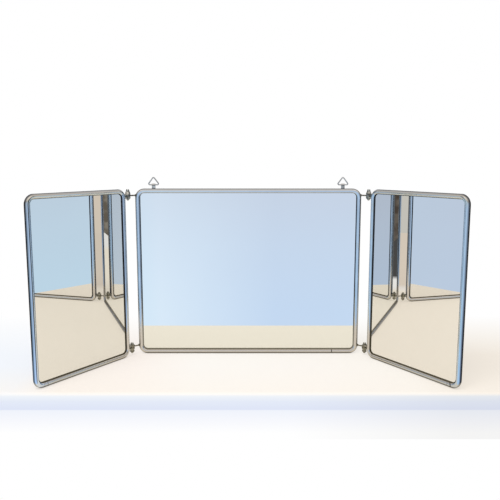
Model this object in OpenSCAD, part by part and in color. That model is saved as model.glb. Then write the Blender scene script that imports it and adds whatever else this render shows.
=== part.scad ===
// Three-panel vanity mirror: a wide centre mirror with two half-width wings.
// Each panel is a slit metal tube bent round the edge of a mirror glass and its backing.
// X runs along the centre mirror, Y away from its face, Z up. The origin is the middle
// of the underside of the centre mirror's bottom rail. All sizes are in millimetres.

/* [Glass] */
// Width of the centre glass
centre_glass_w = 320; // [200:1:600]
// Width of each wing's glass
wing_glass_w = 160; // [80:1:300]
// Height of all three glasses
glass_h = 240; // [150:1:450]
// Thickness of the mirror glass
glass_t = 3.0; // [2:0.1:3.2]
// Thickness of the card behind the glass
card_t = 0.6; // [0.3:0.1:0.8]
// Thickness of the sheet metal back plate
back_plate_t = 0.6; // [0.3:0.1:0.8]
// Play between the panel's layers and the lips of the slit tube, on each side
lip_play = 0.1; // [0.05:0.05:0.2]
// How much smaller the card and back plate are than the glass, on each side
backing_inset = 0.4; // [0:0.1:1]

/* [Tube frame] */
// Outside diameter of the frame tube
tube_d = 7.0; // [6.8:0.1:9]
// Wall of the frame tube
tube_wall = 0.5; // [0.4:0.05:0.6]
// Depth by which the tube's outer side is rolled flat
rolled_flat_depth = 0.15; // [0.05:0.05:0.3]
// How far the glass reaches past the middle of the tube
glass_reach = 1.65; // [1:0.05:1.7]
// Outer radius of the frame's corners
corner_r = 13; // [10:0.5:20]
// Width of the open joint where the tube's ends meet
tube_joint_gap = 0.35; // [0.2:0.05:1]
// Distance of the centre tube's joint from the frame's right end
centre_joint_inset = 38.5; // [30:0.5:60]
// Distance of each wing tube's joint from the wing's outer end
wing_joint_inset = 18.5; // [18.5:0.5:60]
// Length of the strip that bridges the joint inside the tube
joint_strip_l = 10; // [6:1:11]
// Thickness of that strip
joint_strip_t = 0.5; // [0.3:0.05:0.6]

/* [Hinges] */
// Angle by which the left wing is swung forward in the rest pose
left_wing_angle = 55.8; // [0:0.1:120]
// Angle by which the right wing is swung forward in the rest pose
right_wing_angle = 56.6; // [0:0.1:120]
// Distance of the hinge pin outward from the centre frame's side
pin_out = 8.8; // [8:0.1:12]
// Distance of the hinge pin forward of the frames' middle plane
pin_forward = 9.8; // [9:0.1:12]
// Distance of the hinge pin from the wing frame's side
wing_gap = 6.4; // [5.8:0.1:8]
// Height of the upper hinges below the frames' top
top_hinge_inset = 9.5; // [9:0.5:40]
// Height of the lower hinges above the frames' foot
bottom_hinge_inset = 13; // [11:0.5:40]
// Diameter of the hinge arm's wire
arm_wire_d = 2.0; // [1.6:0.1:2.2]
// Diameter of the collar where the arm is brazed to the tube
arm_collar_d = 3.6; // [3:0.1:4]
// Length of the collar
arm_collar_l = 1.0; // [0.6:0.1:1.5]
// Outside diameter of the eye on the arm
eye_d = 6.6; // [5.6:0.1:7]
// Thickness of the eye
eye_t = 2.6; // [2.4:0.1:3.4]
// Diameter of the hinge screw's shank
screw_d = 3.0; // [2.4:0.1:3.2]
// Running clearance round the screw, on the radius
pin_clearance = 0.05; // [0.02:0.01:0.1]
// Play above and below the eye in the fork
eye_play = 0.1; // [0.05:0.05:0.3]
// Width of the fork's two tongues
fork_w = 7.6; // [7:0.1:9]
// Thickness of the fork's thick tongue
thick_tongue_t = 4.6; // [3.5:0.1:5]
// Thickness of the fork's thin tongue
thin_tongue_t = 1.6; // [1.2:0.1:2.4]
// Diameter to which the thick tongue narrows at its end
tongue_end_d = 5.4; // [5:0.1:6.6]
// Width of the web that joins the tongues
fork_web_w = 2.6; // [2:0.1:2.8]
// Diameter of the fork's neck at the wing frame
fork_neck_d = 4.4; // [3.4:0.1:5]
// Length of the straight neck in front of the tube
fork_neck_l = 0.4; // [0.2:0.1:1]
// Diameter of the fork's stud
fork_stud_d = 2.2; // [1.6:0.1:2.6]
// Diameter of the screw head
screw_head_d = 4.6; // [4.4:0.1:6]
// Height of the screw head
screw_head_h = 3.0; // [2:0.1:3.5]
// Width of the screwdriver slot
screw_slot_w = 1.2; // [0.6:0.1:1.6]
// Depth of the screwdriver slot
screw_slot_depth = 1.9; // [0.8:0.1:1.9]
// Diameter of the nut's knurled collar
nut_d = 7.0; // [6.6:0.1:9]
// Diameter of the nut's cone below the collar
nut_cone_d = 5.4; // [4.8:0.1:5.6]
// Diameter of the nut's end
nut_end_d = 3.8; // [3.6:0.1:4.4]
// Height of the knurled collar
nut_collar_h = 1.4; // [1:0.1:1.8]
// Height of the whole nut
nut_h = 3.0; // [2.6:0.1:4]
// Number of grooves in the knurl
nut_grooves = 24; // [12:1:30]
// Length of the screw that stands out of the nut
screw_end_l = 1.0; // [0.6:0.1:1.5]

/* [Hangers] */
// Distance of each hanger from the side of the centre frame
hanger_inset = 26; // [20:0.5:120]
// Width of the folded strap
strap_w = 5.2; // [4:0.1:8]
// Thickness of the strap's sheet
strap_t = 0.6; // [0.4:0.05:0.8]
// Height of the ring's bar above the frame
ring_bar_rise = 5.3; // [4:0.1:12]
// Length of strap below the rivet
strap_tail_l = 3.2; // [2.6:0.1:8]
// Diameter of the ring's wire
ring_wire_d = 1.8; // [1.4:0.1:2.4]
// Width of the ring over its wire
ring_w = 15.6; // [13:0.1:26]
// Radius of the ring's corners at the middle of the wire
ring_corner_r = 1.5; // [1.4:0.1:2.4]
// Diameter of the strap's rivet
rivet_d = 2.0; // [1.4:0.1:2.4]
// Diameter of the rivet's outer head
rivet_head_d = 3.8; // [3:0.1:5]
// Height of the rivet's outer head
rivet_head_h = 0.8; // [0.4:0.1:1.2]
// Thickness of the rivet's inner head, and how far it stands out round the shank
rivet_inner_head = 0.3; // [0.2:0.05:0.4]

/* [Hidden] */
$fn = 64;

// Clearance of a part that is fixed in a hole, on the radius
fixed_clearance = 0.02;
// Distance by which a cutting shape runs past the solid it cuts
cut = 1;
// Chamfer on the edges of the turned parts
turned_chamfer = 0.4;

tube_r = tube_d / 2;
tube_bore_r = tube_r - tube_wall;
// Distance from the middle of the tube to the flat on its outer side
tube_side = tube_r - rolled_flat_depth;
// Distance from the edge of the glass to the outside of the frame
edge_cover = tube_side - glass_reach;
frame_h = glass_h + 2 * edge_cover;
centre_w = centre_glass_w + 2 * edge_cover;
wing_w = wing_glass_w + 2 * edge_cover;
// Radius of a frame corner at the middle of the tube
bend_r = corner_r - tube_side;

// The layers are held between the tube's lips, with the glass to the front
stack_t = glass_t + card_t + back_plate_t;
slit_w = stack_t + 2 * lip_play;
glass_front = stack_t / 2;
card_front = glass_front - glass_t;
plate_front = card_front - card_t;
plate_back = plate_front - back_plate_t;

// How far the tube's middle line has bent inward at a height near a corner
function corner_dip(z) =
    let (rise = max(0, z - frame_h + corner_r, corner_r - z))
        bend_r - sqrt(bend_r * bend_r - rise * rise);

// The hinge pin and arm, seen from above
pin_x = centre_w / 2 + pin_out;
function arm_foot_x(z) = centre_w / 2 - tube_side - corner_dip(z);
function arm_angle(z) = atan2(pin_forward, pin_x - arm_foot_x(z));
function arm_l(z) = norm([pin_forward, pin_x - arm_foot_x(z)]);
// Distance by which the arm's wire stays short of the tube's bore
arm_end_gap = 0.1;
eye_space = eye_t + 2 * eye_play;
fork_thick = eye_space / 2 + thick_tongue_t;
fork_thin = eye_space / 2 + thin_tongue_t;
// Radius to which the fork is turned about its stud, before the flats are cut
fork_turned_r = eye_space / 2 + 3;
// Gap between the eye's edge and the fork's web
web_gap = 0.4;
fork_slot_end = eye_d / 2 + web_gap;
screw_bore_r = screw_d / 2 + pin_clearance;
hinge_heights = [frame_h - top_hinge_inset, bottom_hinge_inset];
// The forks have the thick tongue up at the top hinges and down at the bottom ones
function thick_up(z) = z > frame_h / 2;
function fork_top(z) = thick_up(z) ? fork_thick : fork_thin;
function fork_foot(z) = thick_up(z) ? fork_thin : fork_thick;

// The hanger's strap lies on the back of the tube
hanger_x = centre_w / 2 - hanger_inset;
strap_front = tube_r;
strap_mid = strap_front + strap_t;
ring_bar_z = frame_h + ring_bar_rise;
rivet_z = frame_h - tube_side;
loop_bore_r = ring_wire_d / 2 + pin_clearance;
fold_gap = 0.1;
// Rise and run of the ring's two sloping sides
ring_rise = [4, 3];
nickel = [0.78, 0.77, 0.74];
worn_brass = [0.66, 0.60, 0.48];
mirror_blue = [0.72, 0.80, 0.88];
grey_card = [0.55, 0.50, 0.42];
tinned_sheet = [0.62, 0.63, 0.64];

// A rectangle with round corners, in the XY plane
module round_rect(w, h, r) {
    square([w - 2 * r, h], center = true);
    square([w, h - 2 * r], center = true);
    for (sx = [-1, 1], sy = [-1, 1])
        translate([sx * (w / 2 - r), sy * (h / 2 - r)])
            circle(r = r);
}

// The section of the slit tube: outward is +x, the front of the mirror is +y
module tube_section() {
    difference() {
        tube_outline(tube_r);
        circle(r = tube_bore_r);
        translate([-tube_r - cut, -slit_w / 2])
            square([tube_r + cut, slit_w]);
    }
}

// The outline of the tube with the flat rolled on its outer side
module tube_outline(r) {
    intersection() {
        circle(r = r);
        translate([-tube_r - cut, -tube_r - cut])
            square([tube_r + cut + tube_side, 2 * (tube_r + cut)]);
    }
}

// A straight length of a section, standing along Y with its outer side to +X
module rail(l) {
    rotate([90, 0, 0])
        linear_extrude(l, center = true)
            children();
}

// A section carried once round a frame of size w by h, lying in the XY plane
module frame_loop(w, h) {
    for (turn = [0, 180])
        rotate([0, 0, turn])
            translate([w / 2 - tube_side, 0, 0])
                rail(h - 2 * corner_r)
                    children();
    for (turn = [90, 270])
        rotate([0, 0, turn])
            translate([h / 2 - tube_side, 0, 0])
                rail(w - 2 * corner_r)
                    children();
    for (corner = [[1, 1, 0], [-1, 1, 90], [-1, -1, 180], [1, -1, 270]])
        translate([corner[0] * (w / 2 - corner_r), corner[1] * (h / 2 - corner_r), 0])
            rotate([0, 0, corner[2]])
                rotate_extrude(angle = 90)
                    translate([bend_r, 0])
                        children();
}

// Stands a flat panel up on its bottom rail, with its face to -Y
module stand_up() {
    translate([0, 0, frame_h / 2])
        rotate([90, 0, 0])
            children();
}

// The bent tube without its holes, open at the joint in the bottom rail
module bent_tube(w, joint_inset) {
    stand_up()
        difference() {
            frame_loop(w, frame_h)
                tube_section();
            translate([w / 2 - joint_inset, -frame_h / 2, 0])
                cube([tube_joint_gap, 2 * tube_d, 2 * tube_d], center = true);
        }
}

// The space that a solid bar of the tube's outline would fill
module tube_space(w) {
    stand_up()
        frame_loop(w, frame_h)
            tube_outline(tube_r + fixed_clearance);
}

// The strip inside the tube that bridges its joint
module joint_strip(w, joint_inset) {
    outer_r = tube_bore_r - fixed_clearance;
    inner_edge = glass_reach + lip_play;
    stand_up()
        translate([w / 2 - joint_inset, -frame_h / 2 + tube_side, 0])
            rotate([0, 0, 270])
                rail(joint_strip_l)
                    difference() {
                        circle(r = outer_r);
                        circle(r = outer_r - joint_strip_t);
                        translate([-tube_r - cut, -tube_r])
                            square([tube_r + cut + inner_edge, tube_d]);
                    }
}

// One flat layer of a panel, between two distances in front of the middle plane
module layer(w, inset, front, back) {
    stand_up()
        translate([0, 0, back])
            linear_extrude(front - back)
                round_rect(w - 2 * inset, glass_h - 2 * inset, corner_r - edge_cover - inset);
}

module glass(w) { color(mirror_blue) layer(w, 0, glass_front, card_front); }
module card(w) { color(grey_card) layer(w, backing_inset, card_front, plate_front); }
module back_plate(w) { color(tinned_sheet) layer(w, backing_inset, plate_front, plate_back); }

// Puts what is built for the right side on the left as well
module on_side(side) {
    if (side < 0)
        mirror([1, 0, 0])
            children();
    else
        children();
}

// Moves to the hinge pin of one side and turns to the wing's direction
module at_wing(side) {
    on_side(side)
        translate([pin_x, -pin_forward, 0])
            rotate([0, 0, side < 0 ? -left_wing_angle : -right_wing_angle])
                children();
}

// Moves from the hinge pin to the middle of the wing's panel
module at_wing_panel(side) {
    at_wing(side)
        translate([wing_gap + wing_w / 2, 0, 0])
            children();
}

// Moves to the foot of a hinge arm on the centre frame, and looks along the arm
module at_arm(side, z) {
    on_side(side)
        translate([arm_foot_x(z), 0, z])
            rotate([0, 0, -arm_angle(z)])
                children();
}

module x_cylinder(r, from, to) {
    translate([from, 0, 0])
        rotate([0, 90, 0])
            cylinder(r = r, h = to - from);
}

module centre_frame() {
    color(nickel)
        difference() {
            bent_tube(centre_w, centre_joint_inset);
            for (side = [-1, 1], z = hinge_heights)
                at_arm(side, z)
                    x_cylinder(arm_wire_d / 2 + fixed_clearance, tube_bore_r - cut, tube_r + cut);
            for (side = [-1, 1])
                translate([side * hanger_x, tube_bore_r - cut, rivet_z])
                    rotate([-90, 0, 0])
                        cylinder(d = rivet_d + 2 * fixed_clearance, h = 2 * cut + tube_wall);
        }
}

module wing_frame(side) {
    color(nickel)
        difference() {
            at_wing_panel(side)
                bent_tube(wing_w, wing_joint_inset);
            for (z = hinge_heights)
                at_wing(side)
                    translate([0, 0, z])
                        x_cylinder(fork_stud_d / 2 + fixed_clearance,
                                   wing_gap - cut, wing_gap + tube_wall + 2 * cut);
        }
}

// A wire brazed into the centre frame's tube, with an eye round the hinge screw
module hinge_arm(side, z) {
    wire_end = tube_bore_r + arm_end_gap;
    color(worn_brass)
        difference() {
            union() {
                difference() {
                    at_arm(side, z) {
                        x_cylinder(arm_collar_d / 2, 0, tube_r + arm_collar_l);
                        x_cylinder(arm_wire_d / 2, 0, arm_l(z) - screw_d / 2);
                        translate([arm_l(z), 0, 0])
                            cylinder(d = eye_d, h = eye_t, center = true);
                    }
                    tube_space(centre_w);
                }
                at_arm(side, z)
                    x_cylinder(arm_wire_d / 2, wire_end, tube_r + arm_collar_l);
            }
            at_arm(side, z)
                translate([arm_l(z), 0, 0])
                    cylinder(r = screw_bore_r, h = eye_t + 2 * cut, center = true);
        }
}

// A turned and slotted fork with a stud, brazed into the wing frame's tube
module hinge_fork(side, z) {
    stud_end = wing_gap + edge_cover - 2 * lip_play;
    color(worn_brass)
        difference() {
            union() {
                difference() {
                    at_wing(side)
                        translate([0, 0, z])
                            rotate([thick_up(z) ? 0 : 180, 0, 0])
                                fork_body();
                    at_wing_panel(side)
                        tube_space(wing_w);
                }
                at_wing(side)
                    translate([0, 0, z])
                        x_cylinder(fork_stud_d / 2, wing_gap - fork_neck_l, stud_end);
            }
            at_wing(side)
                translate([0, 0, z])
                    cylinder(r = screw_bore_r, h = 2 * (fork_thick + cut), center = true);
        }
}

// The fork before it is fitted to the tube and bored: +x points to the wing
module fork_body() {
    difference() {
        union() {
            rotate_extrude()
                polygon([[0, -fork_thick], [fork_w / 2, -fork_thick],
                         [fork_w / 2, fork_thin],
                         [tongue_end_d / 2, fork_thick], [0, fork_thick]]);
            fork_turning();
        }
        translate([-fork_w, -fork_w, -fork_thick - fork_thin])
            cube([3 * fork_w, 2 * fork_w, fork_thick]);
        translate([-fork_w, -fork_w, -eye_space / 2])
            cube([fork_w + fork_slot_end, 2 * fork_w, eye_space]);
        for (s = [-1, 1])
            translate([0, s * (fork_web_w / 2 + fork_w / 2), 0])
                cube([2 * (fork_slot_end + fork_w), fork_w, eye_space], center = true);
    }
}

// The cone that narrows from the tongues to the neck
module fork_turning() {
    neck_end = wing_gap + tube_side;
    intersection() {
        rotate([0, 90, 0])
            rotate_extrude()
                polygon([[0, 0], [fork_turned_r, 0], [fork_turned_r, fork_w / 4],
                         [fork_neck_d / 2, wing_gap - fork_neck_l],
                         [fork_neck_d / 2, neck_end], [0, neck_end]]);
        translate([0, -fork_w / 2, -fork_thick])
            cube([neck_end + cut, fork_w, 2 * fork_thick]);
    }
}

// The screw that is the hinge's pin, with a slotted head on top
module hinge_screw(side, z) {
    shank_l = fork_thick + fork_thin + nut_h + screw_end_l;
    color(worn_brass)
        on_side(side)
            translate([pin_x, -pin_forward, z + fork_top(z)])
                difference() {
                    rotate_extrude()
                        polygon([[0, -shank_l], [screw_d / 4, -shank_l],
                                 [screw_d / 2, screw_end_l - shank_l], [screw_d / 2, 0],
                                 [screw_head_d / 2, 0], [screw_head_d / 2, screw_head_h / 2],
                                 [screw_head_d / 2 - 1.5 * turned_chamfer, screw_head_h],
                                 [0, screw_head_h]]);
                    translate([-screw_slot_w / 2, -screw_head_d, screw_head_h - screw_slot_depth])
                        cube([screw_slot_w, 2 * screw_head_d, screw_slot_depth + cut]);
                }
}

// The knurled, tapered nut under the fork that sets the hinge's friction
module hinge_nut(side, z) {
    groove_pitch = PI * nut_d / nut_grooves;
    cone_h = nut_h - nut_collar_h;
    color(worn_brass)
        on_side(side)
            translate([pin_x, -pin_forward, z - fork_foot(z) - nut_h])
                difference() {
                    rotate_extrude()
                        polygon([[screw_bore_r, 0], [nut_end_d / 2, 0], [nut_cone_d / 2, cone_h],
                                 [nut_d / 2 - turned_chamfer, cone_h],
                                 [nut_d / 2, cone_h + turned_chamfer],
                                 [nut_d / 2, nut_h - turned_chamfer],
                                 [nut_d / 2 - turned_chamfer, nut_h], [screw_bore_r, nut_h]]);
                    for (i = [0:nut_grooves - 1])
                        rotate([0, 0, i * 360 / nut_grooves])
                            translate([nut_d / 2, 0, -cut])
                                cylinder(r = groove_pitch / 4, h = nut_h + 2 * cut);
                }
}

// A strip folded round the ring's bar and riveted to the back of the tube
module hanger_strap(side) {
    loop_r = loop_bore_r + strap_t;
    strap_bottom = rivet_z - strap_tail_l;
    color(worn_brass)
        difference() {
            translate([side * hanger_x - strap_w / 2, 0, 0])
                rotate([90, 0, 90])
                    linear_extrude(strap_w)
                        difference() {
                            union() {
                                translate([strap_mid, ring_bar_z])
                                    circle(r = loop_r);
                                translate([strap_front, strap_bottom])
                                    square([2 * strap_t, ring_bar_z - strap_bottom]);
                            }
                            translate([strap_mid, ring_bar_z])
                                circle(r = loop_bore_r);
                            translate([strap_mid - fold_gap / 2, strap_bottom - cut])
                                square([fold_gap, ring_bar_z - strap_bottom + cut]);
                        }
            translate([side * hanger_x, strap_front - cut, rivet_z])
                rotate([-90, 0, 0])
                    cylinder(d = rivet_d + 2 * fixed_clearance, h = 2 * strap_t + 2 * cut);
        }
}

// The rivet that holds the strap to the tube's back wall
module hanger_rivet(side) {
    inner_face = lip_play - plate_back;
    inner_head_r = rivet_d / 2 + rivet_inner_head;
    outer_face = strap_front + 2 * strap_t;
    color(nickel)
        translate([side * hanger_x, 0, rivet_z])
            rotate([-90, 0, 0])
                rotate_extrude()
                    polygon([[0, inner_face], [inner_head_r, inner_face],
                             [inner_head_r, inner_face + rivet_inner_head],
                             [rivet_d / 2, inner_face + rivet_inner_head],
                             [rivet_d / 2, outer_face], [rivet_head_d / 2, outer_face],
                             [rivet_head_d / 2 - rivet_head_h / 3, outer_face + rivet_head_h / 2],
                             [rivet_head_d / 4, outer_face + rivet_head_h],
                             [0, outer_face + rivet_head_h]]);
}

// A triangle of bent wire with round corners, standing on its bar in the strap
module hanger_ring(side) {
    r = ring_corner_r;
    // Centres of the corner bends, with the sides between them
    run = (ring_w - ring_wire_d) / 2 - r;
    base_c = [run, r];
    top_c = [0, r + run * ring_rise[0] / ring_rise[1]];
    slope = atan2(ring_rise[0], ring_rise[1]);
    color(worn_brass)
        translate([side * hanger_x, strap_mid, ring_bar_z])
            rotate([90, 0, 0]) {
                x_cylinder(ring_wire_d / 2, -run, run);
                for (m = [0, 1])
                    mirror([m, 0, 0])
                        translate(base_c) {
                            rotate([0, 0, -90])
                                wire_bend(r, 90);
                            wire_bend(r, 90 - slope);
                            rotate([0, 0, 90 - slope])
                                translate([r, 0, 0])
                                    rotate([-90, 0, 0])
                                        cylinder(d = ring_wire_d, h = norm(top_c - base_c));
                        }
                translate(top_c)
                    rotate([0, 0, 90 - slope])
                        wire_bend(r, 2 * slope);
            }
}

module wire_bend(r, angle) {
    rotate_extrude(angle = angle)
        translate([r, 0])
            circle(d = ring_wire_d);
}

centre_frame();
color(worn_brass) joint_strip(centre_w, centre_joint_inset);  // centre_joint_strip
glass(centre_glass_w);  // centre_glass
card(centre_glass_w);  // centre_card
back_plate(centre_glass_w);  // centre_back_plate

for (side = [-1, 1]) {
    wing = side < 0 ? "left_wing_" : "right_wing_";
    wing_frame(side);
    color(worn_brass) at_wing_panel(side) joint_strip(wing_w, wing_joint_inset);
    at_wing_panel(side) glass(wing_glass_w);
    at_wing_panel(side) card(wing_glass_w);
    at_wing_panel(side) back_plate(wing_glass_w);
    for (level = [0, 1]) {
        z = hinge_heights[level];
        hinge = str(side < 0 ? "left_" : "right_", level == 0 ? "top" : "bottom", "_hinge_");
        hinge_arm(side, z);
        hinge_fork(side, z);
        hinge_screw(side, z);
        hinge_nut(side, z);
    }
    hanger = side < 0 ? "left_hanger_" : "right_hanger_";
    hanger_strap(side);
    hanger_rivet(side);
    hanger_ring(side);
}
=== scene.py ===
from math import cos, radians, sin

import bmesh
import bpy
from mathutils import Matrix


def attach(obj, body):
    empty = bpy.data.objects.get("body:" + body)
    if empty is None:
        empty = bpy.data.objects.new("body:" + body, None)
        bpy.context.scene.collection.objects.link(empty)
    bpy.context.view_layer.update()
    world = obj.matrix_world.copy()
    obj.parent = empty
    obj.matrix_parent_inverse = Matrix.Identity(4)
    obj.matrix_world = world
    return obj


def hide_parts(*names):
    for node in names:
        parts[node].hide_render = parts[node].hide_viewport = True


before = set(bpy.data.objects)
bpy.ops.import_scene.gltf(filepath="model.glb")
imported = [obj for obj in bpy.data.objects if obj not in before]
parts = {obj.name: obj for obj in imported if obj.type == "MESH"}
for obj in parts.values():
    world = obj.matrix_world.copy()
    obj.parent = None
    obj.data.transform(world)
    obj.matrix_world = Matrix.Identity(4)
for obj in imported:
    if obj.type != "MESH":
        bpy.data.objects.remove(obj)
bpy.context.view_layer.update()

# ---- Frame tubes ----
# Each panel's frame is one brass tube, slit along its inner side, rolled round the edge of the
# glass, bent at the corners and nickel plated. Its two ends meet in the bottom rail. The plating
# is hazy in front, with yellowed patches, and dark with dirt at the joint. Its colour also holds
# painted light: painted shade round the sides and underneath, a painted warm glint on the
# wings' worn upper corners, and painted reflections on the top rails, on the bottom rail, low
# down by the centre and at the outer ends of the feet.


def new_finish(name):
    """A material, its node tree, its shader, and the place on the piece."""
    finish = bpy.data.materials.new(name)
    finish.use_nodes = True
    tree = finish.node_tree
    place = tree.nodes.new("ShaderNodeTexCoord").outputs["Object"]
    return finish, tree, tree.nodes["Principled BSDF"], place


def clouds(tree, place, patch, detail=3.0, stretch=(1, 1, 1)):
    """Soft irregular patches of about that size in metres, drawn out along some axes."""
    scaled = tree.nodes.new("ShaderNodeMapping")
    scaled.inputs["Scale"].default_value = [1 / (patch * s) for s in stretch]
    tree.links.new(place, scaled.inputs["Vector"])
    noise = tree.nodes.new("ShaderNodeTexNoise")
    noise.inputs["Scale"].default_value = 1.0
    noise.inputs["Detail"].default_value = detail
    tree.links.new(scaled.outputs["Vector"], noise.inputs["Vector"])
    return noise.outputs["Fac"]


def graded(tree, amount, *stops):
    """Colours from a few (amount, colour) stops."""
    ramp = tree.nodes.new("ShaderNodeValToRGB")
    ends = ramp.color_ramp.elements
    while len(ends) < len(stops):
        ends.new(0.5)
    for end, (at, colour) in zip(ends, stops):
        end.position = at
        end.color = (*colour, 1)
    tree.links.new(amount, ramp.inputs["Fac"])
    return ramp.outputs["Color"]


def between(tree, amount, low, high, start=0.3, stop=0.7):
    """A number that runs from low to high as the amount runs from start to stop."""
    span = tree.nodes.new("ShaderNodeMapRange")
    limits = {"From Min": start, "From Max": stop, "To Min": low, "To Max": high}
    for socket, value in limits.items():
        span.inputs[socket].default_value = value
    tree.links.new(amount, span.inputs["Value"])
    return span.outputs["Result"]


def laid_over(tree, amount, under, over):
    """One colour laid over another by an amount."""
    mix = tree.nodes.new("ShaderNodeMix")
    mix.data_type = "RGBA"
    tree.links.new(amount, mix.inputs["Factor"])
    for socket, colour in (("A", under), ("B", over)):
        end = next(i for i in mix.inputs if i.name == socket and i.type == "RGBA")
        if isinstance(colour, tuple):
            end.default_value = (*colour, 1)
        else:
            tree.links.new(colour, end)
    return next(o for o in mix.outputs if o.type == "RGBA")


def reckon(tree, operation, *values):
    """One sum on sockets and numbers."""
    sum_node = tree.nodes.new("ShaderNodeMath")
    sum_node.operation = operation
    for end, value in zip(sum_node.inputs, values):
        if isinstance(value, (int, float)):
            end.default_value = value
        else:
            tree.links.new(value, end)
    return sum_node.outputs["Value"]


def both(tree, one, other):
    """Where two amounts meet."""
    return reckon(tree, "MULTIPLY", one, other)


def either_way(tree, amount):
    """How far, to whichever side."""
    return reckon(tree, "ABSOLUTE", amount)


def split(tree, place):
    """The place across, forward and up."""
    axes = tree.nodes.new("ShaderNodeSeparateXYZ")
    tree.links.new(place, axes.inputs["Vector"])
    return [axes.outputs[a] for a in "XYZ"]


def relief(tree, shader, height, depth):
    """Fine unevenness of that depth in metres."""
    bump = tree.nodes.new("ShaderNodeBump")
    bump.inputs["Distance"].default_value = depth
    tree.links.new(height, bump.inputs["Height"])
    tree.links.new(bump.outputs["Normal"], shader.inputs["Normal"])


def finish_nodes(finish, *names):
    """Gives the frame's own solids their finish."""
    for name in names:
        for slot in parts[name].material_slots:
            slot.material = finish


def nickel_plate(name, turn, bright_from, blue_foot_share, joint, joint_dirt, low_side_shade):
    """Nickel that is hazy in front, with painted shade round the tube's sides and at its foot.

    It is bright where it faces squarely enough out of a panel that is turned by that angle, and
    darkened with painted shade where it turns away; that painted side shade takes another colour
    low down. The outer end of the foot takes a painted blue reflection by the given share, and the
    joint in the bottom rail holds dirt.
    """
    finish, tree, shader, place = new_finish(name)
    shader.inputs["Metallic"].default_value = 1.0
    shader.inputs["Specular Tint"].default_value = (0.5, 0.52, 0.55, 1)
    across, _, up = split(tree, place)
    outward = either_way(tree, across)

    # The haze, and yellow patches in it
    haze = clouds(tree, place, 0.030, 4)
    plate = graded(tree, haze, (0.32, (0.57, 0.65, 0.73)), (0.66, (0.65, 0.73, 0.81)))
    yellowed = between(tree, clouds(tree, place, 0.018, 2), 0.0, 0.45, 0.62, 0.76)
    plate = laid_over(tree, yellowed, plate, (0.60, 0.55, 0.42))

    # A painted warm glint on the wings' upper outer corners, where the plating is worn, a painted
    # grey reflection on the top rails, and a painted warm reflection of the shelf on the limbs by
    # the hinges near the shelf
    wing_end = between(tree, outward, 0, 0.6, 0.235, 0.262)
    corner_glint = both(tree, wing_end, between(tree, up, 0, 1, 0.226, 0.238))
    plate = laid_over(tree, corner_glint, plate, (0.76, 0.71, 0.52))
    top_rail_reflection = between(tree, up, 0, 0.6, 0.2365, 0.2385)
    plate = laid_over(tree, top_rail_reflection, plate, (0.72, 0.73, 0.71))
    near_the_centre = between(tree, outward, 1, 0, 0.185, 0.215)
    shelf_reflection = both(tree, between(tree, up, 0.8, 0, 0.030, 0.075), near_the_centre)
    plate = laid_over(tree, shelf_reflection, plate, (0.70, 0.65, 0.61))

    # The sides of the tube, which turn away from the panel's face, darkened with painted shade
    front_on = tree.nodes.new("ShaderNodeVectorMath")
    front_on.operation = "DOT_PRODUCT"
    tree.links.new(place.node.outputs["Normal"], front_on.inputs[0])
    front_on.inputs[1].default_value = (sin(turn), -cos(turn), 0)
    faces_out = either_way(tree, front_on.outputs["Value"])
    side_shade = between(tree, faces_out, 0.95, 0.0, bright_from - side_shade_span, bright_from)
    low_down = between(tree, up, 1, 0, 0.020, 0.150)
    plate = laid_over(tree, side_shade, plate, laid_over(tree, low_down, side_shade_colour, low_side_shade))

    # The bottom rail: a painted tone for the shaded shelf it reflects, a painted blue reflection
    # at its outer end, painted contact shade underneath, and dirt at the joint
    painted_rail_tone = both(tree, between(tree, up, 0.75, 0, 0.0070, 0.0110), between(tree, haze, 0.7, 1.0))
    plate = laid_over(tree, painted_rail_tone, plate, (0.64, 0.605, 0.54))
    blue_foot_reflection = between(tree, outward, 0, blue_foot_share, 0.246, 0.260)
    blue_foot_reflection = both(tree, blue_foot_reflection, between(tree, up, 1, 0, 0.012, 0.060))
    blue_foot_reflection = both(tree, blue_foot_reflection, between(tree, side_shade, 1, 0, 0.3, 0.9))
    plate = laid_over(tree, blue_foot_reflection, plate, (0.72, 0.83, 1.0))
    contact_shade = between(tree, up, 0.95, 0, 0.0014, 0.0034)
    plate = laid_over(tree, contact_shade, plate, (0.10, 0.09, 0.075))
    off_joint = either_way(tree, reckon(tree, "SUBTRACT", across, joint))
    dirt = between(tree, off_joint, joint_dirt, 0, 0.0004, 0.0008)
    dirt = both(tree, dirt, between(tree, up, 1, 0, 0.008, 0.010))
    plate = laid_over(tree, dirt, plate, (0.10, 0.09, 0.07))
    tree.links.new(plate, shader.inputs["Base Color"])

    rough = reckon(tree, "MULTIPLY_ADD", painted_rail_tone, 0.16, between(tree, haze, 0.05, 0.11))
    rough = reckon(tree, "MULTIPLY_ADD", side_shade, 0.08, rough)
    tree.links.new(rough, shader.inputs["Roughness"])
    relief(tree, shader, clouds(tree, place, 0.0012, 2), 0.000004)
    return finish


left_turn, right_turn = radians(55.8), radians(-56.6)
# The painted shade on the tube's sides, and how far round it fades in
side_shade_colour, side_shade_span = (0.11, 0.12, 0.135), 0.42
# Per panel: its turn, where the metal stays bright, the share of painted blue reflection at the
# foot, the joint, its dirt, and the colour of the painted side shade low down
for panel, turn, bright_from, blue_foot_share, joint, joint_dirt, low_side_shade in (
    ("centre", 0.0, 0.90, 0.0, 0.1232, 0.95, side_shade_colour),
    ("left_wing", left_turn, 0.83, 0.85, -0.2555, 0.15, (0.10, 0.13, 0.18)),
    ("right_wing", right_turn, 0.88, 0.30, 0.2538, 0.80, (0.02, 0.02, 0.035)),
):
    nickel = nickel_plate(
        f"{panel}_nickel_plate", turn, bright_from, blue_foot_share, joint, joint_dirt, low_side_shade
    )
    finish_nodes(nickel, f"{panel}_frame")

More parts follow.
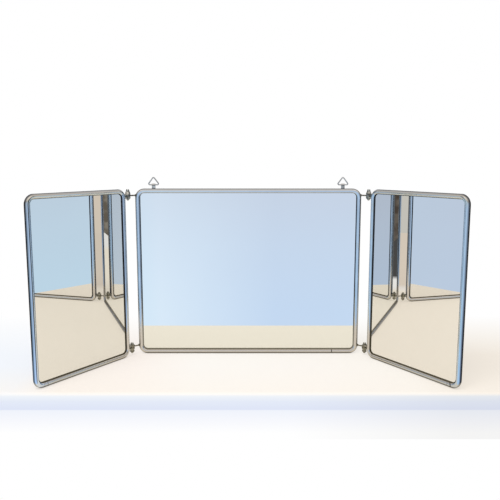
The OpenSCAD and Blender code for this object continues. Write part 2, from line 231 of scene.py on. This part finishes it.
# ---- Mirror glasses ----
# Three sheets of glass with round corners, silvered and painted on the back. They stand in the
# slit of the tube, so the silver lies a little behind the tube's lip. The wings' silver has a
# cast of 0.68 degrees forward at the top, which lifts what it shows.


def silver_finish(name, cast, light):
    """Silver behind glass, a little uneven, and cast forward by that much for its height."""
    finish, tree, shader, place = new_finish(name)
    shader.inputs["Metallic"].default_value = 1.0
    film = clouds(tree, place, 0.090, 3)
    deep = [value - 0.010 for value in light]
    silver = graded(tree, film, (0.3, deep), (0.7, light))
    tree.links.new(silver, shader.inputs["Base Color"])
    tree.links.new(between(tree, film, 0.002, 0.008), shader.inputs["Roughness"])
    _, _, up = split(tree, place)
    waves = reckon(tree, "MULTIPLY", film, 0.000002)
    relief(tree, shader, reckon(tree, "MULTIPLY_ADD", up, cast, waves), 1.0)
    return finish


def round_slab(width, height, corner, front, back, aside=0.0, raised=0.0):
    """An upright sheet with round corners, in the middle of its panel or a little off it."""
    slab = bmesh.new()
    bmesh.ops.create_cube(slab, size=1)
    bmesh.ops.scale(slab, vec=(width, back - front, height), verts=slab.verts)
    corners = [e for e in slab.edges if e.verts[0].co.y * e.verts[1].co.y < 0]
    bmesh.ops.bevel(
        slab, geom=corners, offset=corner, affect="EDGES", segments=12, profile=0.5, material=-1
    )
    bmesh.ops.translate(slab, vec=(aside, (front + back) / 2, raised), verts=slab.verts)
    return slab


def made(name, shape, finish):
    """An object of that shape and finish, with its place in its mesh."""
    data = bpy.data.meshes.new(name)
    shape.to_mesh(data)
    shape.free()
    data.materials.append(finish)
    piece = bpy.data.objects.new(name, data)
    bpy.context.scene.collection.objects.link(piece)
    return piece


def set_in_panel(slab, name, panel, finish):
    """Puts a shape into its panel and makes it a piece that rides with the panel."""
    middle, turn, pin = panels[panel]
    bmesh.ops.translate(slab, vec=(middle, 0, frame_high / 2), verts=slab.verts)
    swing = Matrix.Rotation(turn, 3, "Z")
    bmesh.ops.rotate(slab, cent=(0, 0, 0), matrix=swing, verts=slab.verts)
    bmesh.ops.translate(slab, vec=(*pin, 0), verts=slab.verts)
    bmesh.ops.recalc_face_normals(slab, faces=slab.faces)
    piece = made(name, slab, finish)
    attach(piece, panel)
    return piece


frame_high, glass_high, glass_corner = 0.2434, 0.2400, 0.0113
pin_across, pin_forward, wing_middle = 0.1705, -0.0098, 0.0881
silver_front, silver_back = -0.0014, 0.0009
wing_cast = 0.01187
panels = {
    "centre": (0.0, 0.0, (0, 0)),
    "left_wing": (-wing_middle, left_turn, (-pin_across, pin_forward)),
    "right_wing": (wing_middle, right_turn, (pin_across, pin_forward)),
}
for panel, silvering, glass_wide, cast, light in (
    ("centre", "silvered_glass", 0.320, 0.0, (0.950, 0.965, 0.945)),
    ("left_wing", "left_silvered_glass", 0.160, wing_cast, (0.895, 0.890, 0.875)),
    ("right_wing", "right_silvered_glass", 0.160, wing_cast, (0.945, 0.935, 0.925)),
):
    silver = silver_finish(silvering, cast, light)
    sheet = round_slab(glass_wide, glass_high, glass_corner, silver_front, silver_back)
    mirror = set_in_panel(sheet, f"{panel}_mirror", panel, silver)
    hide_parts(f"{panel}_glass")

# ---- Edge bindings, dark strips standing in for shade ----
# A strip of black paper is pasted round the front edge of each glass, a dark sheet standing in
# for the shade in the gap under the tube's lip. A millimetre of it shows inside the lip. Low down
# it is painted lighter and warmer as painted light, most along the foot of the centre and in
# patches along the bottom.
gap_shade_paper, tree, shader, place = new_finish("gap_shade_paper")
across, _, up = split(tree, place)
worn = clouds(tree, place, 0.0035, 5)
paper = graded(tree, worn, (0.35, (0.008, 0.009, 0.012)), (0.65, (0.022, 0.024, 0.029)))
# Painted light low down: warmer and paler towards the bottom, most on the centre's foot and in
# patches along the bottom
warmer_low_down = between(tree, up, 0.85, 0, 0.030, 0.110)
paper = laid_over(tree, warmer_low_down, paper, (0.055, 0.046, 0.024))
on_the_centre = between(tree, either_way(tree, across), 1, 0, 0.160, 0.168)
painted_foot_light = both(tree, between(tree, up, 1, 0, 0.020, 0.070), on_the_centre)
paper = laid_over(tree, painted_foot_light, paper, (0.20, 0.185, 0.145))
painted_bottom_light = both(tree, between(tree, up, 1, 0, 0.0055, 0.0090), between(tree, worn, 0.65, 1.0))
paper = laid_over(tree, painted_bottom_light, paper, (0.13, 0.112, 0.075))
tree.links.new(paper, shader.inputs["Base Color"])
shader.inputs["Roughness"].default_value = 0.85
shader.inputs["Specular IOR Level"].default_value = 0.2
relief(tree, shader, worn, 0.00004)
inset, strip_width, outer_corner, strip_front = 0.0045, 0.0027, 0.0085, -0.00215
outline_high = frame_high - 2 * inset
for panel, frame_wide, aside, raised in (
    ("centre", 0.3234, 0.0, 0.0009),
    ("left_wing", 0.1634, -0.0009, 0.0007),
    ("right_wing", 0.1634, 0.0009, 0.0007),
):
    outline_wide = frame_wide - 2 * inset
    strip = round_slab(
        outline_wide, outline_high, outer_corner, strip_front, silver_front, aside, raised
    )
    panes = [f for f in strip.faces if abs(f.normal.y) > 0.9]
    bmesh.ops.inset_region(strip, faces=panes, thickness=strip_width, use_even_offset=True)
    rims = [e for f in panes for e in f.edges]
    bmesh.ops.delete(strip, geom=panes, context="FACES_ONLY")
    bmesh.ops.bridge_loops(strip, edges=rims)
    set_in_panel(strip, f"{panel}_gap_shade_strip", panel, gap_shade_paper)

# ---- Backing cards ----
# A sheet of grey straw card lies between each glass and its back plate, cut a little small. It
# keeps the silvering from being scratched.
straw_card, tree, shader, place = new_finish("straw_card")
fibres = clouds(tree, place, 0.0030, 6, (3, 3, 1))
straw = graded(tree, fibres, (0.3, (0.30, 0.25, 0.17)), (0.7, (0.46, 0.40, 0.29)))
tree.links.new(straw, shader.inputs["Base Color"])
shader.inputs["Roughness"].default_value = 0.9
relief(tree, shader, fibres, 0.00008)
finish_nodes(straw_card, *(f"{panel}_card" for panel in panels))

# ---- Back plates ----
# Tinned sheet steel closes each panel at the back. It is held in the tube's slit with the card
# and the glass. The tin has dulled to a cloudy grey, with faint roller marks along the sheet.
tinned, tree, shader, place = new_finish("tinned_sheet_steel")
shader.inputs["Metallic"].default_value = 1.0
cloudy = clouds(tree, place, 0.040, 5)
tin = graded(tree, cloudy, (0.30, (0.46, 0.47, 0.47)), (0.70, (0.60, 0.61, 0.60)))
spots = between(tree, clouds(tree, place, 0.006, 2), 0.0, 0.5, 0.66, 0.76)
tin = laid_over(tree, spots, tin, (0.33, 0.29, 0.24))
tree.links.new(tin, shader.inputs["Base Color"])
tree.links.new(between(tree, cloudy, 0.34, 0.52), shader.inputs["Roughness"])
roller_marks = clouds(tree, place, 0.0010, 3, (1, 1, 60))
relief(tree, shader, roller_marks, 0.00001)
finish_nodes(tinned, *(f"{panel}_back_plate" for panel in panels))

# ---- Joint strips ----
# A bent strip of brass inside each tube bridges the joint in the bottom rail. It is pushed half
# its length into each end before the frame is closed.
strip_brass, tree, shader, place = new_finish("joint_strip_brass")
shader.inputs["Metallic"].default_value = 1.0
stain = clouds(tree, place, 0.004, 4)
brass = graded(tree, stain, (0.3, (0.42, 0.32, 0.16)), (0.7, (0.62, 0.49, 0.27)))
tree.links.new(brass, shader.inputs["Base Color"])
tree.links.new(between(tree, stain, 0.30, 0.48), shader.inputs["Roughness"])
finish_nodes(strip_brass, *(f"{panel}_joint_strip" for panel in panels))

# ---- Hinges ----
# Each hinge is a wire arm with an eye, brazed into the centre tube, and a turned fork brazed
# into the wing's tube. A slotted screw through both is the pin, and a knurled nut below sets
# the friction that holds the wing. Nickel on brass, dark in the grooves and browner low down.
hinges = [f"{side}_{level}_hinge_" for side in ("left", "right") for level in ("top", "bottom")]
for name, pieces, groove, worn_plate, bright_plate in (
    (
        "dull_nickel", ("fork", "screw", "nut"),
        (0.10, 0.105, 0.095), (0.34, 0.355, 0.33), (0.66, 0.67, 0.64),
    ),
    (
        "dark_arm_nickel", ("arm",),
        (0.12, 0.115, 0.095), (0.22, 0.21, 0.18), (0.36, 0.35, 0.31),
    ),
):
    hinge_nickel, tree, shader, place = new_finish(name)
    shader.inputs["Metallic"].default_value = 1.0
    grime = clouds(tree, place, 0.0035, 4)
    plate = graded(tree, grime, (0.36, groove), (0.50, worn_plate), (0.68, bright_plate))
    _, _, up = split(tree, place)
    warmer_low_down = between(tree, up, 0.6, 0, 0.015, 0.100)
    plate = laid_over(tree, warmer_low_down, plate, (0.27, 0.24, 0.17))
    tree.links.new(plate, shader.inputs["Base Color"])
    tree.links.new(between(tree, grime, 0.42, 0.24), shader.inputs["Roughness"])
    relief(tree, shader, clouds(tree, place, 0.0008, 3), 0.00002)
    finish_nodes(hinge_nickel, *(hinge + piece for hinge in hinges for piece in pieces))

# ---- Hangers ----
# Two triangles of bent steel wire hang the mirror on a wall. Each turns in a strap that is
# folded round its bar and riveted to the back of the top rail. Tinned and grey.
hangers = [f"{side}_hanger_" for side in ("left", "right")]
for name, pieces, dark_tin, light_tin in (
    ("grey_tinned_wire", ("ring",), (0.46, 0.46, 0.45), (0.66, 0.66, 0.65)),
    ("strap_steel", ("strap", "rivet"), (0.42, 0.40, 0.35), (0.66, 0.63, 0.58)),
):
    hanger_tin, tree, shader, place = new_finish(name)
    shader.inputs["Metallic"].default_value = 1.0
    tarnish = clouds(tree, place, 0.005, 4)
    tin = graded(tree, tarnish, (0.32, dark_tin), (0.68, light_tin))
    tree.links.new(tin, shader.inputs["Base Color"])
    tree.links.new(between(tree, tarnish, 0.42, 0.28), shader.inputs["Roughness"])
    relief(tree, shader, clouds(tree, place, 0.0010, 3), 0.00002)
    finish_nodes(hanger_tin, *(hanger + piece for hanger in hangers for piece in pieces))

# ---- The shelf it stands on ----
# A plain white painted shelf with a rounded front edge, not part of the mirror. The camera sees
# it almost white, and the mirrors see its warm paint. Behind the mirror it runs into the white.
shelf_wide, shelf_deep, shelf_thick, shelf_front = 2.4, 1.2, 0.060, -0.159
shelf_round = 0.004
shelf_shape = bmesh.new()
bmesh.ops.create_cube(shelf_shape, size=1)
bmesh.ops.scale(shelf_shape, vec=(shelf_wide, shelf_deep, shelf_thick), verts=shelf_shape.verts)
shelf_middle = (0, shelf_deep / 2 + shelf_front, -shelf_thick / 2)
bmesh.ops.translate(shelf_shape, vec=shelf_middle, verts=shelf_shape.verts)
front_edge = [
    e for e in shelf_shape.edges if all(v.co.y < 0 and v.co.z > -shelf_thick / 2 for v in e.verts)
]
bmesh.ops.bevel(
    shelf_shape, geom=front_edge, offset=shelf_round, affect="EDGES", segments=6, profile=0.5,
    material=-1,
)
paint, tree, shader, place = new_finish("shelf_paint")
shader.inputs["Roughness"].default_value = 0.75
shader.inputs["Specular IOR Level"].default_value = 0.2
light_path = tree.nodes.new("ShaderNodeLightPath")
across, forward, up = split(tree, place)
nose = between(tree, up, 1, 0, -shelf_round, -0.0005)
behind = between(tree, forward, 0, 1, -0.01, 0.22)

# What the camera sees: bluish at the left, warm in front, darker at the far right, and the front
# edge in painted pale blue shade
seen = graded(
    tree, between(tree, across, 0, 1, -0.36, 0.36),
    (0.09, (0.90, 0.93, 0.98)), (0.17, (0.985, 0.915, 0.85)), (0.28, (1.0, 0.93, 0.87)),
    (0.40, (1.0, 0.965, 0.915)), (0.62, (1.0, 0.955, 0.90)), (0.80, (1.0, 0.955, 0.885)),
    (0.88, (0.94, 0.87, 0.78)), (1.0, (0.94, 0.87, 0.78)),
)
# The front edge in painted pale blue shade, darker towards the right
edge = graded(
    tree, between(tree, up, 0, 1, -0.052, -0.001),
    (0.0, (1, 1, 1)), (0.30, (0.935, 0.945, 0.985)), (0.58, (0.87, 0.90, 0.97)),
    (0.605, (0.735, 0.785, 0.93)), (0.80, (0.78, 0.83, 0.94)), (0.92, (0.88, 0.92, 0.98)),
    (1.0, (0.97, 0.985, 1.0)),
)
edge = laid_over(tree, between(tree, across, 0, 0.13, 0.05, 0.26), edge, (0.30, 0.28, 0.26))
in_front = between(tree, forward, 0.45, 0, -0.150, -0.060)
seen = laid_over(tree, in_front, seen, (0.99, 0.915, 0.825))
seen = laid_over(tree, nose, seen, edge)
seen = laid_over(tree, behind, seen, (1.0, 1.0, 1.0))

# What the mirrors see: cream paint, which turns whiter and then dark far to the sides, with its
# front edge in painted bluish shade and painted shade by the wall beside the mirror
patchy = clouds(tree, place, 0.12, 3, (3, 1, 1))
mirrored = laid_over(tree, patchy, (0.900, 0.825, 0.700), (0.870, 0.800, 0.675))
whiter = (0.86, 0.85, 0.83)
mirrored = laid_over(tree, between(tree, across, 0, 1, 0.80, 0.90), mirrored, whiter)
mirrored = laid_over(tree, between(tree, across, 1, 0, -0.30, -0.26), mirrored, whiter)
far_left = between(tree, across, 1, 0, -0.42, -0.38)
mirrored = laid_over(tree, far_left, mirrored, (0.06, 0.06, 0.06))
mirrored = laid_over(tree, nose, mirrored, (0.62, 0.66, 0.74))
beside_the_mirror = between(tree, either_way(tree, across), 0, 1, 0.27, 0.33)
by_the_wall = both(tree, between(tree, forward, 0, 1, -0.005, 0.005), beside_the_mirror)
mirrored = laid_over(tree, by_the_wall, mirrored, (0.69, 0.61, 0.51))

# The paint takes the lamp's light and shadow, and evens out behind the mirror and at the edge
colour = laid_over(tree, light_path.outputs["Is Camera Ray"], mirrored, seen)
tree.links.new(colour, shader.inputs["Base Color"])
even = tree.nodes.new("ShaderNodeEmission")
tree.links.new(colour, even.inputs["Color"])
evened = tree.nodes.new("ShaderNodeMixShader")
on_the_edge = between(tree, up, 1.0, 0.60, -0.012, -0.002)
evening = reckon(tree, "MAXIMUM", between(tree, behind, 0.60, 1.0, 0, 1), on_the_edge)
tree.links.new(evening, evened.inputs["Fac"])
tree.links.new(shader.outputs["BSDF"], evened.inputs[1])
tree.links.new(even.outputs["Emission"], evened.inputs[2])
tree.links.new(evened.outputs["Shader"], tree.nodes["Material Output"].inputs["Surface"])
shelf = made("shelf", shelf_shape, paint)

# ---- The room in front ----
# A wide curved screen, not part of the mirror and not seen by the camera. It is what the
# mirrors and the metal reflect: pale blue ahead, dim at the sides, warmer above. Light that is
# mirrored three times loses a little more than the silver's colour takes.
room_radius, room_back = 4.0, 3.4
room_shape = bmesh.new()
bmesh.ops.create_uvsphere(room_shape, u_segments=64, v_segments=32, radius=room_radius)
whole_room = room_shape.verts[:] + room_shape.edges[:] + room_shape.faces[:]
bmesh.ops.bisect_plane(
    room_shape, geom=whole_room, plane_co=(0, room_back, 0), plane_no=(0, 1, 0), clear_outer=True
)
glow, tree, shader, place = new_finish("room_glow")
tree.nodes.remove(shader)
lamp = tree.nodes.new("ShaderNodeEmission")
tree.links.new(lamp.outputs["Emission"], tree.nodes["Material Output"].inputs["Surface"])
across, depth, height = split(tree, place)
to_the_front = reckon(tree, "MULTIPLY", depth, -1)
turned = reckon(tree, "DEGREES", reckon(tree, "ARCTAN2", across, to_the_front))

# Round the room by degrees, from straight in front of the mirror, with minus to the left
dark, white = (0.045, 0.048, 0.054), (1, 1, 1)
cream, grey_wall = (0.69, 0.61, 0.51), (0.58, 0.57, 0.52)
walls = (
    (-170, white), (-166, dark), (-106, dark), (-104, grey_wall), (-91, grey_wall), (-89.5, dark),
    (89, dark), (91, cream), (104, cream), (106, dark), (166, dark), (170, white),
)
stops = ((0.5 + angle / 360, colour) for angle, colour in walls)
round_the_room = graded(tree, between(tree, turned, 0, 1, -180, 180), *stops)
sideways = either_way(tree, turned)
at_the_side = both(
    tree, between(tree, sideways, 0, 1, 75, 77), between(tree, sideways, 1, 0, 88.5, 89.5)
)
patches = clouds(tree, place, 0.060, 2)
dim_left = graded(tree, patches, (0.40, (0.070, 0.056, 0.046)), (0.60, (0.130, 0.112, 0.095)))
dim_right = graded(tree, patches, (0.40, (0.130, 0.112, 0.090)), (0.60, (0.240, 0.215, 0.180)))
dim_sides = laid_over(tree, between(tree, turned, 0, 1, -5, 5), dim_left, dim_right)
round_the_room = laid_over(tree, at_the_side, round_the_room, dim_sides)

# The pale blue ahead, greener to the left and deeper to the right
pale_blue = graded(
    tree, between(tree, height, 0, 1, -0.9, 0.1),
    (0.0, (0.585, 0.72, 0.935)), (0.5, (0.60, 0.712, 0.895)), (1.0, (0.60, 0.675, 0.825)),
)
from_the_left = between(tree, turned, 0, 1, -60, 10)
leftward = graded(
    tree, from_the_left,
    (0.0, (0.45,) * 3), (0.57, (0.48,) * 3), (0.71, (0.75,) * 3), (0.90, (0.0,) * 3),
)
leftward = both(tree, leftward, between(tree, height, 1, 0.5, -0.9, 0.1))
left_blue = graded(tree, from_the_left, (0.57, (0.61, 0.89, 1.02)), (0.71, (0.78, 0.90, 1.03)))
pale_blue = laid_over(tree, leftward, pale_blue, left_blue)
rightward = between(tree, turned, 0, 1, 12, 32)
pale_blue = laid_over(tree, rightward, pale_blue, (0.590, 0.722, 0.90))
ahead = both(tree, between(tree, turned, 0, 1, -80, -77), between(tree, turned, 1, 0, 42, 50))
round_the_room = laid_over(tree, ahead, round_the_room, pale_blue)

# Overhead, with a warm bright band that the top rails catch
ceiling, bright_band = (0.62, 0.56, 0.52), (1.0, 0.92, 0.85)
lit = graded(
    tree, between(tree, height, 0, 1, 0, room_radius),
    (0.50, ceiling), (0.55, bright_band), (0.90, bright_band), (0.95, ceiling),
)
overhead = laid_over(tree, between(tree, depth, 0, 1, -1.3, -0.4), lit, ceiling)
overhead = laid_over(tree, between(tree, depth, 0, 1, 2.6, room_back), overhead, white)
all_round = laid_over(tree, between(tree, height, 0, 1, 1.0, 2.0), round_the_room, overhead)
tree.links.new(all_round, lamp.inputs["Color"])
mirrorings = tree.nodes.new("ShaderNodeLightPath").outputs["Glossy Depth"]
mirrored_thrice = between(tree, mirrorings, 0, 1, 2.5, 3.0)
lost = both(tree, mirrored_thrice, between(tree, turned, 0.21, 0.12, -5, 5))
tree.links.new(reckon(tree, "SUBTRACT", 1, lost), lamp.inputs["Strength"])
room = made("room_screen", room_shape, glow)
room.visible_camera = room.visible_diffuse = room.visible_shadow = False

# ---- Light ----
# A white world, which the camera and the reflections see at full white, and one large soft
# lamp above, in front and to the left.
world = bpy.data.worlds.new("white_studio")
bpy.context.scene.world = world
world.use_nodes = True
tree = world.node_tree
light_path = tree.nodes.new("ShaderNodeLightPath")
shown = light_path.outputs["Is Camera Ray"]
for ray in ("Is Glossy Ray", "Is Transmission Ray"):
    shown = reckon(tree, "MAXIMUM", shown, light_path.outputs[ray])
backdrop = tree.nodes["Background"]
tree.links.new(between(tree, shown, 0.62, 1.0, 0, 1), backdrop.inputs["Strength"])
backdrop.inputs["Color"].default_value = (1, 1, 1, 1)

softbox = bpy.data.lights.new("softbox", "AREA")
softbox.shape = "RECTANGLE"
softbox.size, softbox.size_y = 1.8, 1.4
softbox.energy = 33
softbox_stand = bpy.data.objects.new("softbox", softbox)
softbox_stand.location = (-0.5, -1.3, 2.0)
softbox_stand.rotation_euler = (radians(33), 0, radians(-21))
softbox_stand.visible_glossy = False
bpy.context.scene.collection.objects.link(softbox_stand)

# ---- Camera ----
# It stands straight in front, a little above the mirror, and looks a little down. Its focal
# length is given in pixels of a picture 500 pixels wide.
focal_pixels, picture_wide, sensor_wide = 611.56, 500, 36
camera_data = bpy.data.cameras.new("camera")
camera_data.sensor_width = sensor_wide
camera_data.lens = focal_pixels / picture_wide * sensor_wide
camera = bpy.data.objects.new("camera", camera_data)
camera.location = (0.00211, -0.87772, 0.28254)
camera.rotation_euler = (radians(90 - 8.29), 0, radians(-0.027))
bpy.context.scene.collection.objects.link(camera)
bpy.context.scene.camera = camera
bpy.context.scene.view_settings.view_transform = "Standard"
